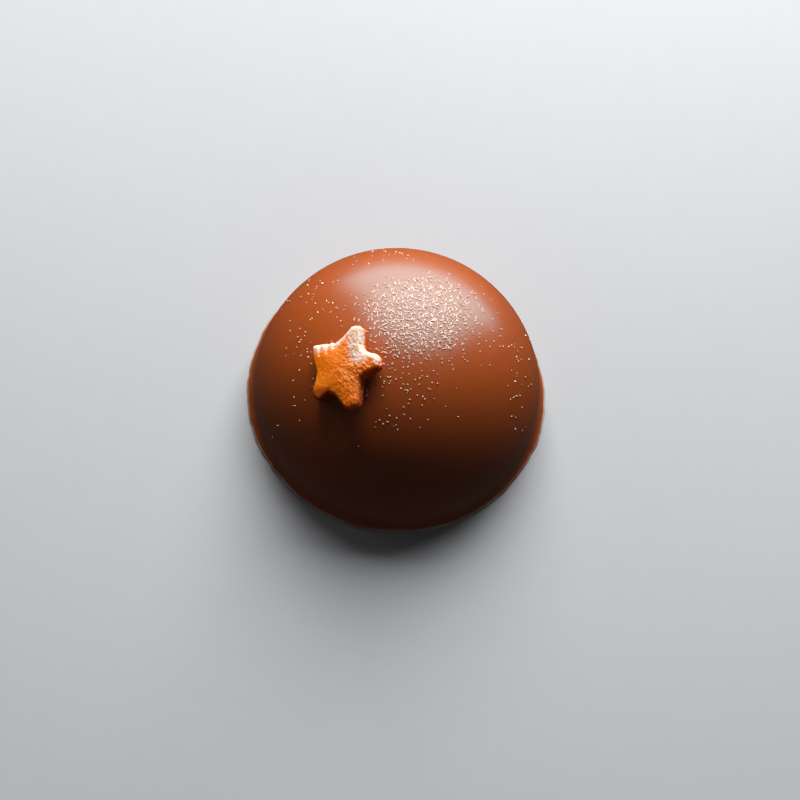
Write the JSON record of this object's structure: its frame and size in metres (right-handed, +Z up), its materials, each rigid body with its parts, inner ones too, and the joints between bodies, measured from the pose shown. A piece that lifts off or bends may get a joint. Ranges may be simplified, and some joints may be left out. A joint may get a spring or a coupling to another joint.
{
  "type": "chocolate praline",
  "caption": "Half-sphere milk chocolate praline on a thin uneven foot lip, with a grainy gold sugar star pressed onto its front left and a dusting of pearl luster.",
  "frame": {"origin": "middle of the flat underside, below the top of the dome", "axes": "+Z up through the top of the dome, -Y towards the viewer of the picture, +X to the viewer's right"},
  "size_m": [0.0293, 0.0293, 0.0156],
  "materials": {
    "milk_chocolate": "smooth moulded milk chocolate with a soft satin sheen and pearl dust",
    "gold_sugar": "grainy gold pearl sugar",
    "pearl_luster": "fine pearl luster flakes"
  },
  "bodies": {
    "root": {"chocolate_dome": "milk_chocolate", "sugar_star": "gold_sugar"}
  },
  "joints": []
}
